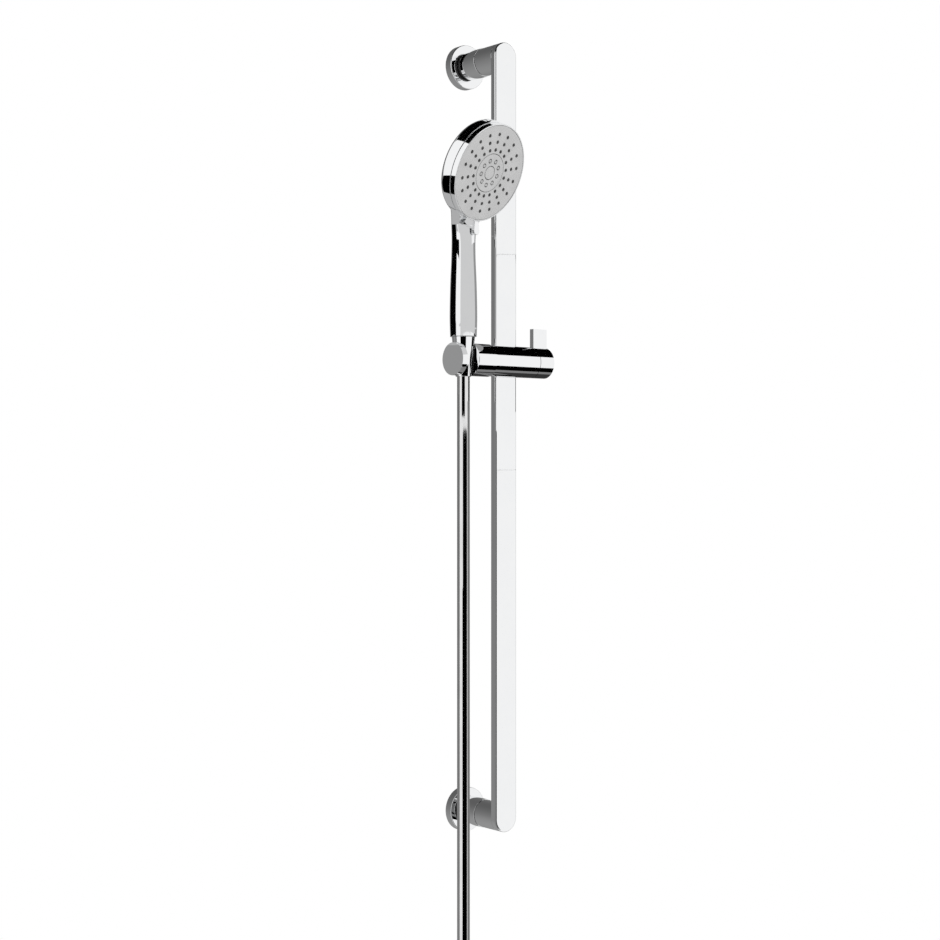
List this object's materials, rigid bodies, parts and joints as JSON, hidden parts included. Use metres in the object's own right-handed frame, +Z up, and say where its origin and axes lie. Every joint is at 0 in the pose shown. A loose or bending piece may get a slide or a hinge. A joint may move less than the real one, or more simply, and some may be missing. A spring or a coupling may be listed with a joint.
{
  "type": "shower slide rail",
  "caption": "Wall-mounted flat shower rail with round posts, a clamping slider, a tilting cradle, a round hand shower and a hose.",
  "frame": {"origin": "in the wall plane, half way between the two wall posts, at the centre of the pattern of four wall screws", "axes": "+Y into the wall, +Z up along the rail, +X to the right for someone facing the wall"},
  "size_m": [0.219, 0.1418, 1.3123],
  "materials": {
    "polished_chrome": "polished chrome plating on brass",
    "plated_plastic": "chrome plated plastic, polished",
    "hidden_steel": "plain stainless steel",
    "liner_plastic": "dark low friction plastic",
    "pale_plastic": "pale plastic",
    "face_plastic": "satin light grey plastic",
    "nozzle_rubber": "grey silicone",
    "seal_rubber": "black rubber",
    "spindle_brass": "turned brass",
    "hose_silver": "smooth silver plastic over a woven core",
    "tie_strap": "soft dark strap"
  },
  "bodies": {
    "wall_rail": {"wall_plate_upper": "hidden_steel", "flange_cover_upper": "polished_chrome", "post_sleeve_upper": "polished_chrome", "set_screw_upper": "hidden_steel", "post_front_upper": "polished_chrome", "rail_screw_upper": "hidden_steel", "wall_plate_lower": "hidden_steel", "flange_cover_lower": "polished_chrome", "post_sleeve_lower": "polished_chrome", "set_screw_lower": "hidden_steel", "post_front_lower": "polished_chrome", "rail_screw_lower": "hidden_steel", "rail": "polished_chrome"},
    "slider": {"slider_body": "polished_chrome", "rail_liner": "liner_plastic", "pivot_pin": "hidden_steel", "pivot_washer": "liner_plastic", "knob_washer": "liner_plastic", "hose": "hose_silver", "hose_hank": "hose_silver", "hose_tie": "tie_strap", "hose_nut_lower": "polished_chrome", "end_seal": "seal_rubber"},
    "brake": {"brake_shoe": "liner_plastic", "brake_pad": "seal_rubber"},
    "knob": {"clamp_knob": "polished_chrome", "knob_spindle": "spindle_brass", "knob_screw": "hidden_steel"},
    "cradle": {"cradle": "polished_chrome", "seat_liner": "liner_plastic", "hose_nut_upper": "polished_chrome", "inlet_seal": "seal_rubber", "handset_inlet": "pale_plastic", "handset_shell": "plated_plastic", "spray_face": "face_plastic", "nozzle_mat": "nozzle_rubber", "mist_insert": "face_plastic", "diverter_plate": "pale_plastic"},
    "selector": {"selector_ring": "plated_plastic"}
  },
  "joints": [
    {"name": "slider_travel", "type": "slide", "parent": "wall_rail", "child": "slider", "axis": [0, 0, 1], "range_m": [-0.478, 0.309]},
    {"name": "cradle_tilt", "type": "hinge", "parent": "slider", "child": "cradle", "pos_m": [0, -0.0823, 0.0845], "axis": [1, 0, 0], "range_deg": [0, 40], "deforming": ["hose"]},
    {"name": "knob_turn", "type": "hinge", "parent": "slider", "child": "knob", "pos_m": [0, -0.0823, 0.0845], "axis": [1, 0, 0], "range_deg": [0, 90]},
    {"name": "brake_travel", "type": "slide", "parent": "slider", "child": "brake", "axis": [1, 0, 0], "range_m": [0, 0.0008]},
    {"name": "selector_turn", "type": "hinge", "parent": "cradle", "child": "selector", "pos_m": [-0.05763, -0.11886, 0.2843], "axis": [0.1818, -0.9017, -0.3923], "range_deg": [-20, 20]}
  ],
  "couplings": [
    {"joint": "brake_travel", "follows": "knob_turn", "m_per_rad": 0.0005}
  ]
}
